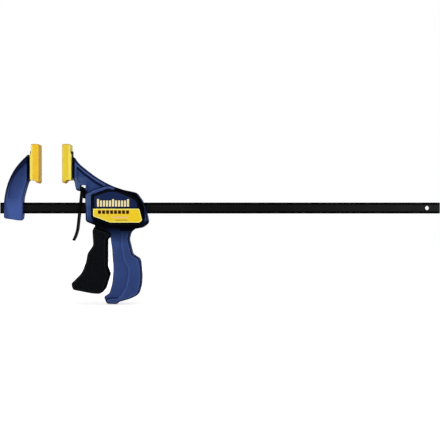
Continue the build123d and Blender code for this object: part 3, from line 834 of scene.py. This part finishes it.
def bar_zones(tree, place, ground):
    """Tints of the flat bar: painted shade on its corners, paler towards its free end."""
    near = in_millimetres(tree, place, 0.0, BAR_MIDDLE)
    axes = axes_of(tree, near)
    half = (BAR_HIGH.z - BAR_LOW.z) / 2 / MM
    axes["inside"] = math_node(tree, "SUBTRACT", half, math_node(tree, "ABSOLUTE", axes["z"]))
    masks = zone_masks(tree, axes, BAR_ZONES)
    ground = cover(tree, ground, (1.0, 1.0, 1.0), masks["paler"])
    # Painted shade on the corners
    return cover(tree, ground, bpy.context.scene.clamp_colours.bar_painted_corner_shade, masks["corner"])


# ---------------------------------------------------------------- pieces


class CLAMP_OT_body(bpy.types.Operator):
    """Finish of the two body shells and the fixed jaw"""

    bl_idname = "clamp.body"
    bl_label = "Blue body"

    def execute(self, context):
        colours = context.scene.clamp_colours
        looks = (colours.body_blue, SHELL_GRAIN, SHELL_CONTRAST, colours.body_scuff, colours.painted_shade_and_seam_blue)
        shells = resin_finish("Blue resin", *looks, SHELL_RIM, body_zones)
        for node in ("left_body_shell", "right_body_shell"):
            dress(node, shells)
        dress("fixed_jaw", resin_finish("Blue jaw resin", *looks, JAW_RIM, jaw_zones))
        return {"FINISHED"}


class CLAMP_OT_pads(bpy.types.Operator):
    """Finish of the two clamp pads"""

    bl_idname = "clamp.pads"
    bl_label = "Clamp pads"

    def execute(self, context):
        finish = pad_finish()
        for node in ("fixed_jaw_pad", "moving_jaw_pad"):
            dress(node, finish)
        return {"FINISHED"}


class CLAMP_OT_trigger(bpy.types.Operator):
    """Finish of the squeeze trigger"""

    bl_idname = "clamp.trigger"
    bl_label = "Trigger"

    def execute(self, context):
        colours = context.scene.clamp_colours
        base = colours.trigger_black
        # Painted shade on the trigger's rounded edges
        rim = shade(base, TRIGGER_RIM_SHADE)
        looks = (base, TRIGGER_GRAIN, TRIGGER_CONTRAST, colours.trigger_scuff_and_highlight, rim)
        dress("trigger", resin_finish("Black resin", *looks, TRIGGER_RIM))
        return {"FINISHED"}


class CLAMP_OT_steel(bpy.types.Operator):
    """Finishes of the bar, the lever, the drive plates, the pins, the washer and the screws"""

    bl_idname = "clamp.steel"
    bl_label = "Steel parts"

    def execute(self, context):
        colours = context.scene.clamp_colours
        oxide = steel_finish("Black oxide", colours.bar_black, colours.bar_worn, OXIDE_STEEL, bar_zones)
        dress("bar", oxide)
        dark = steel_finish("Oiled steel", colours.lever_steel, colours.lever_worn, OILED_STEEL)
        for node in ("brake_lever", "drive_plate_front", "drive_plate_rear"):
            dress(node, dark)
        zinc = steel_finish("Zinc", colours.zinc, colours.zinc_worn, ZINC_STEEL)
        for node in ("body_screws", "trigger_pivot_pin", "fixed_jaw_pin", "spring_washer"):
            dress(node, zinc)
        return {"FINISHED"}


def coil(name, radius, wire, front, rear, middle_z, open_turns):
    """A compression spring along x with a closed turn at each end, as a swept curve made a mesh."""
    per_turn = 28
    closed_turns = 1.0
    turns = open_turns + 2 * closed_turns
    run = rear - front - wire
    open_run = run - 2 * closed_turns * wire
    curve = bpy.data.curves.new(name, "CURVE")
    curve.dimensions = "3D"
    curve.bevel_depth = wire / 2
    curve.bevel_resolution = 3
    curve.use_fill_caps = True
    count = int(turns * per_turn) + 1
    spline = curve.splines.new("POLY")
    spline.points.add(count - 1)
    for index, point in enumerate(spline.points):
        turn = index / per_turn
        opened = min(max(turn - closed_turns, 0.0), open_turns) / open_turns
        closed = min(turn, closed_turns) + max(turn - closed_turns - open_turns, 0.0)
        along = front + wire / 2 + closed * wire + opened * open_run
        angle = 2 * math.pi * turn
        point.co = (along, radius * math.cos(angle), middle_z + radius * math.sin(angle), 1.0)
    holder = bpy.data.objects.new(name, curve)
    bpy.context.scene.collection.objects.link(holder)
    make_active(holder)
    bpy.ops.object.convert(target="MESH")
    piece = bpy.context.object
    bpy.ops.object.shade_smooth()
    return piece


class CLAMP_OT_springs(bpy.types.Operator):
    """Brake spring and drive spring with closed end turns"""

    bl_idname = "clamp.springs"
    bl_label = "Springs"

    def execute(self, context):
        sizes = context.scene.clamp_sizes
        colours = context.scene.clamp_colours
        bright = steel_finish("Spring wire", colours.bright_steel, colours.bright_worn, BRIGHT_WIRE)
        dark = steel_finish("Dark wire", colours.lever_steel, colours.wire_worn, DARK_WIRE)
        at_lever = BRAKE_SPRING_LOW - Vector((BRAKE_SPRING_REACH, 0, 0))
        brake_ends, drive_ends = (at_lever, BRAKE_SPRING_HIGH), (DRIVE_SPRING_LOW, DRIVE_SPRING_HIGH)
        brake = ("brake_spring", *brake_ends, sizes.brake_wire, sizes.brake_turns, dark)
        drive = ("drive_spring", *drive_ends, sizes.drive_wire, sizes.drive_turns, bright)
        for (node, low, high, wire, turns, material), joint, travel in (
            (brake, "brake_release", BRAKE_SPRING_TRAVEL),
            (drive, "drive_slide", DRIVE_SPRING_TRAVEL),
        ):
            middle_z = (low.z + high.z) / 2
            piece = coil(node + "_coil", (high.z - low.z - wire) / 2, wire, low.x, high.x, middle_z, turns)
            settle(piece, "moving_jaw", material, (node,))
            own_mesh(piece)
        return {"FINISHED"}


# Fields of the label, as the other outlines on the clamp's side
UPPER_FIELD = [
    (32.4, 0.5), (75.2, 0.5), (74.3, 5.9), (68.8, 9.9),
    (60.4, 13.5), (54.0, 15.9), (47.0, 16.1), (32.4, 11.5),
]
LOWER_FIELD = [(31.2, -0.8), (76.9, -0.8), (79.8, -12.2), (77.2, -14.5), (48.0, -14.5), (31.2, -8.2)]
MARKS_LEFT, MARKS_RIGHT, MARKS_BOTTOM = 35.1, 66.84, 1.3
DASHES_LEFT, DASHES_RIGHT, DASHES_BOTTOM = 36.1, 66.86, -5.9
BROAD_LINE = [(50.5, -10.2), (65.8, -10.2), (65.8, -8.7), (50.5, -8.7)]
THIN_LINE = [(53.2, -12.6), (65.0, -12.6), (65.0, -11.7), (53.2, -11.7)]
# Every fifth scale mark is long, and the others are this share of it
LONG_MARK_EVERY = 5
SHORT_MARK = 0.82
MARK_CORNER = 0.25 * MM
DASH_CORNER = 0.5 * MM
LINE_CORNER = 0.3 * MM
# How bright the upper field is at its rear beside its front
UPPER_FIELD_REAR = 0.8


def on_clamp(corners):
    """Corners of an outline in millimetres as places on the clamp in metres."""
    return [(MOVING_FACE + x * MM, BAR_MIDDLE + z * MM) for x, z in corners]


def inset_corners(corners, amount):
    """A convex outline moved inwards by an amount."""
    moved = []
    count = len(corners)
    for index in range(count):
        before, here, after = (Vector(corners[(index + step) % count]) for step in (-1, 0, 1))
        first, second = (here - before).normalized(), (after - here).normalized()
        inward_first, inward_second = Vector((-first.y, first.x)), Vector((-second.y, second.x))
        turning = math.copysign(1, first.cross(second))
        inward = (inward_first + inward_second) * turning
        moved.append(tuple(here + inward * amount / (1 + inward_first.dot(inward_second))))
    return moved


def row_of_bars(left, right, bottom, count, width, heights):
    """Outlines of upright bars spread evenly from left to right, their heights taken in turn."""
    bars = []
    for index in range(count):
        start = left + (right - left - width) * index / (count - 1)
        top = bottom + heights[index % len(heights)]
        bars.append([(start, bottom), (start + width, bottom), (start + width, top), (start, top)])
    return bars


class CLAMP_OT_labels(bpy.types.Operator):
    """Printed labels in the housing's two recesses"""

    bl_idname = "clamp.labels"
    bl_label = "Labels"

    def execute(self, context):
        colours = context.scene.clamp_colours
        sizes = context.scene.clamp_sizes
        black = print_finish("Label ground", colours.label_black)
        blue = print_finish("Label blue", colours.label_blue, shade(colours.label_blue, UPPER_FIELD_REAR))
        yellow = print_finish("Label yellow", colours.label_yellow, colours.label_gold)
        border, cream, brown, peach, olive = (
            print_finish(f"Label {tint}", getattr(colours, f"label_{tint}"))
            for tint in ("border", "cream", "brown", "peach", "olive")
        )
        lower = on_clamp(LOWER_FIELD)
        long_mark = sizes.mark_height / MM
        marks = row_of_bars(
            MARKS_LEFT, MARKS_RIGHT, MARKS_BOTTOM, sizes.mark_count, sizes.mark_width / MM,
            [long_mark] + (LONG_MARK_EVERY - 1) * [SHORT_MARK * long_mark],
        )
        dashes = row_of_bars(
            DASHES_LEFT, DASHES_RIGHT, DASHES_BOTTOM, sizes.dash_count, sizes.dash_width / MM,
            [sizes.dash_height / MM],
        )
        # Name, outlines, height in printed layers, corner radius and finish
        layers = (
            ("upper_field", [on_clamp(UPPER_FIELD)], 1, sizes.field_corner, blue),
            ("lower_rim", [lower], 1, sizes.field_corner, border),
            ("lower_field", [inset_corners(lower, sizes.border_width)], 2, sizes.field_corner, yellow),
            ("scale", [on_clamp(bar) for bar in marks], 2, MARK_CORNER, cream),
            ("dashes", [on_clamp(bar) for bar in dashes], 3, DASH_CORNER, brown),
            ("broad_line", [on_clamp(BROAD_LINE)], 3, LINE_CORNER, peach),
            ("thin_line", [on_clamp(THIN_LINE)], 3, LINE_CORNER, olive),
        )
        for side, node, outer in (
            ("left", "left_label", LEFT_LABEL_LOW.y),
            ("right", "right_label", RIGHT_LABEL_HIGH.y),
        ):
            step = math.copysign(sizes.print_step, outer)
            plate = merged_copy(node, side + "_label_plate")
            settle(plate, "moving_jaw", black, (node,))
            for name, outlines, level, rounding, material in layers:
                top, depth = outer + step * level, -step * (level + 1)
                panels = [side_panel(name, corners, top, depth, rounding) for corners in outlines]
                settle(join(panels, f"{side}_label_{name}"), "moving_jaw", material)
        return {"FINISHED"}


# ---------------------------------------------------------------- stage


def area_lamp(name, place, target, size, watts):
    """A soft square lamp that looks at a place."""
    lamp = bpy.data.lights.new(name, "AREA")
    lamp.shape = "SQUARE"
    lamp.size = size
    lamp.energy = watts
    holder = bpy.data.objects.new(name, lamp)
    bpy.context.scene.collection.objects.link(holder)
    holder.location = place
    holder.rotation_euler = (target - place).to_track_quat("-Z", "Y").to_euler()


def seen_directly(tree):
    """1 on rays from the camera, in reflections and through glass, 0 elsewhere."""
    path = tree.nodes.new("ShaderNodeLightPath")
    seen = math_node(tree, "ADD", path.outputs["Is Camera Ray"], path.outputs["Is Glossy Ray"])
    seen = math_node(tree, "ADD", seen, path.outputs["Is Transmission Ray"])
    return math_node(tree, "MINIMUM", seen, 1.0)


# Lamps: name, place from the view's middle in metres, size in metres and setting of the power
LAMPS = (
    ("key_lamp", (-0.15, -1.15, 0.1), 0.8, "key_power"),
    ("fill_lamp", (-0.7, -0.8, -0.02), 0.5, "fill_power"),
    ("top_lamp", (0.0, -0.2, 0.9), 0.6, "top_power"),
    ("rear_lamp", (0.15, 1.15, 0.1), 0.8, "rear_power"),
)
# What the lamps look at, from the view's middle
LAMP_TARGET = (-0.1, 0.0, 0.0)
FLOOR_SIZE = 6.0
FLOOR_GAP = 0.5 * MM
FLOOR_GREY = 0.86
# Distances from the frame's origin over which the floor's glow grows, so that its far edge can't be seen
FLOOR_FAR = (0.4, 1.4)


def make_sky(scene, stage):
    """White surroundings that light the clamp less than they show."""
    world = bpy.data.worlds.new("Studio sky")
    scene.world = world
    world.use_nodes = True
    tree = world.node_tree
    background = tree.nodes["Background"]
    strength = remap(tree, seen_directly(tree), 0.0, 1.0, stage.sky_strength, 1.0)
    tree.links.new(strength, background.inputs["Strength"])
    background.inputs["Color"].default_value = (1, 1, 1, 1)


def make_floor(stage, middle_x):
    """Pale floor that glows where it is seen and still takes the clamp's shadow."""
    deselect_all()
    floor_z = BOUNDS_AT_START[0].z - FLOOR_GAP
    bpy.ops.mesh.primitive_plane_add(size=FLOOR_SIZE, location=(middle_x, 0, floor_z))
    floor = bpy.context.object
    floor.name = "studio_floor"
    bpy.ops.object.transform_apply(location=True, rotation=True, scale=True)
    material = bpy.data.materials.new("Pale floor")
    material.use_nodes = True
    tree = material.node_tree
    tree.nodes.clear()
    output = add_node(tree, "ShaderNodeOutputMaterial")
    matt = add_node(tree, "ShaderNodeBsdfDiffuse", Color=(FLOOR_GREY, FLOOR_GREY, FLOOR_GREY, 1))
    glow = add_node(tree, "ShaderNodeEmission", Color=(1, 1, 1, 1))
    both = add_node(tree, "ShaderNodeAddShader")
    far = add_node(tree, "ShaderNodeVectorMath", operation="LENGTH")
    tree.links.new(add_node(tree, "ShaderNodeTexCoord").outputs["Object"], far.inputs[0])
    strength = remap(tree, far.outputs["Value"], *FLOOR_FAR, stage.floor_glow, stage.far_glow)
    strength = math_node(tree, "MULTIPLY", strength, seen_directly(tree))
    tree.links.new(strength, glow.inputs["Strength"])
    tree.links.new(matt.outputs["BSDF"], both.inputs[0])
    tree.links.new(glow.outputs["Emission"], both.inputs[1])
    tree.links.new(both.outputs["Shader"], output.inputs["Surface"])
    floor.data.materials.append(material)


def make_camera(scene, stage, middle):
    """Camera that looks straight at the clamp's side."""
    camera_data = bpy.data.cameras.new("Camera")
    camera = bpy.data.objects.new("Camera", camera_data)
    scene.collection.objects.link(camera)
    camera.location = middle + Vector((0, -stage.camera_distance, 0))
    camera.rotation_euler = (math.radians(90), 0, 0)
    camera_data.sensor_fit = "HORIZONTAL"
    camera_data.sensor_width = 36.0
    camera_data.lens = camera_data.sensor_width * stage.camera_distance / stage.view_width
    camera_data.clip_end = 20.0
    scene.camera = camera


class CLAMP_OT_stage(bpy.types.Operator):
    """Pale floor, white surroundings, soft lamps and the camera"""

    bl_idname = "clamp.stage"
    bl_label = "Studio"

    def execute(self, context):
        stage = context.scene.clamp_stage
        middle = Vector((stage.camera_x, 0, BAR_MIDDLE + stage.camera_above_bar))
        make_sky(context.scene, stage)
        make_floor(stage, middle.x)
        target = middle + Vector(LAMP_TARGET)
        for name, place, size, setting in LAMPS:
            area_lamp(name, middle + Vector(place), target, size, getattr(stage, setting))
        make_camera(context.scene, stage, middle)
        context.scene.view_settings.view_transform = "Standard"
        return {"FINISHED"}


# ---------------------------------------------------------------- add-on


OPERATORS = (
    CLAMP_OT_stage,
    CLAMP_OT_body,
    CLAMP_OT_pads,
    CLAMP_OT_trigger,
    CLAMP_OT_steel,
    CLAMP_OT_springs,
    CLAMP_OT_labels,
)


class CLAMP_PT_sidebar(bpy.types.Panel):
    """The clamp's pieces, one button each"""

    bl_label = "Bar clamp"
    bl_space_type = "VIEW_3D"
    bl_region_type = "UI"
    bl_category = "Clamp"

    def draw(self, context):
        for operator in OPERATORS:
            self.layout.operator(operator.bl_idname)
        for group in (context.scene.clamp_colours, context.scene.clamp_sizes, context.scene.clamp_stage):
            box = self.layout.box()
            for name in group.bl_rna.properties.keys():
                if name not in ("rna_type", "name"):
                    box.prop(group, name)


CLASSES = (ClampColours, ClampSizes, ClampStage, *OPERATORS, CLAMP_PT_sidebar)


def register():
    for cls in CLASSES:
        bpy.utils.register_class(cls)
    bpy.types.Scene.clamp_colours = PointerProperty(type=ClampColours)
    bpy.types.Scene.clamp_sizes = PointerProperty(type=ClampSizes)
    bpy.types.Scene.clamp_stage = PointerProperty(type=ClampStage)


def unregister():
    del bpy.types.Scene.clamp_stage
    del bpy.types.Scene.clamp_sizes
    del bpy.types.Scene.clamp_colours
    for cls in reversed(CLASSES):
        bpy.utils.unregister_class(cls)


def main():
    register()
    for operator in OPERATORS:
        group, name = operator.bl_idname.split(".")
        getattr(getattr(bpy.ops, group), name)()


if __name__ == "__main__":
    main()
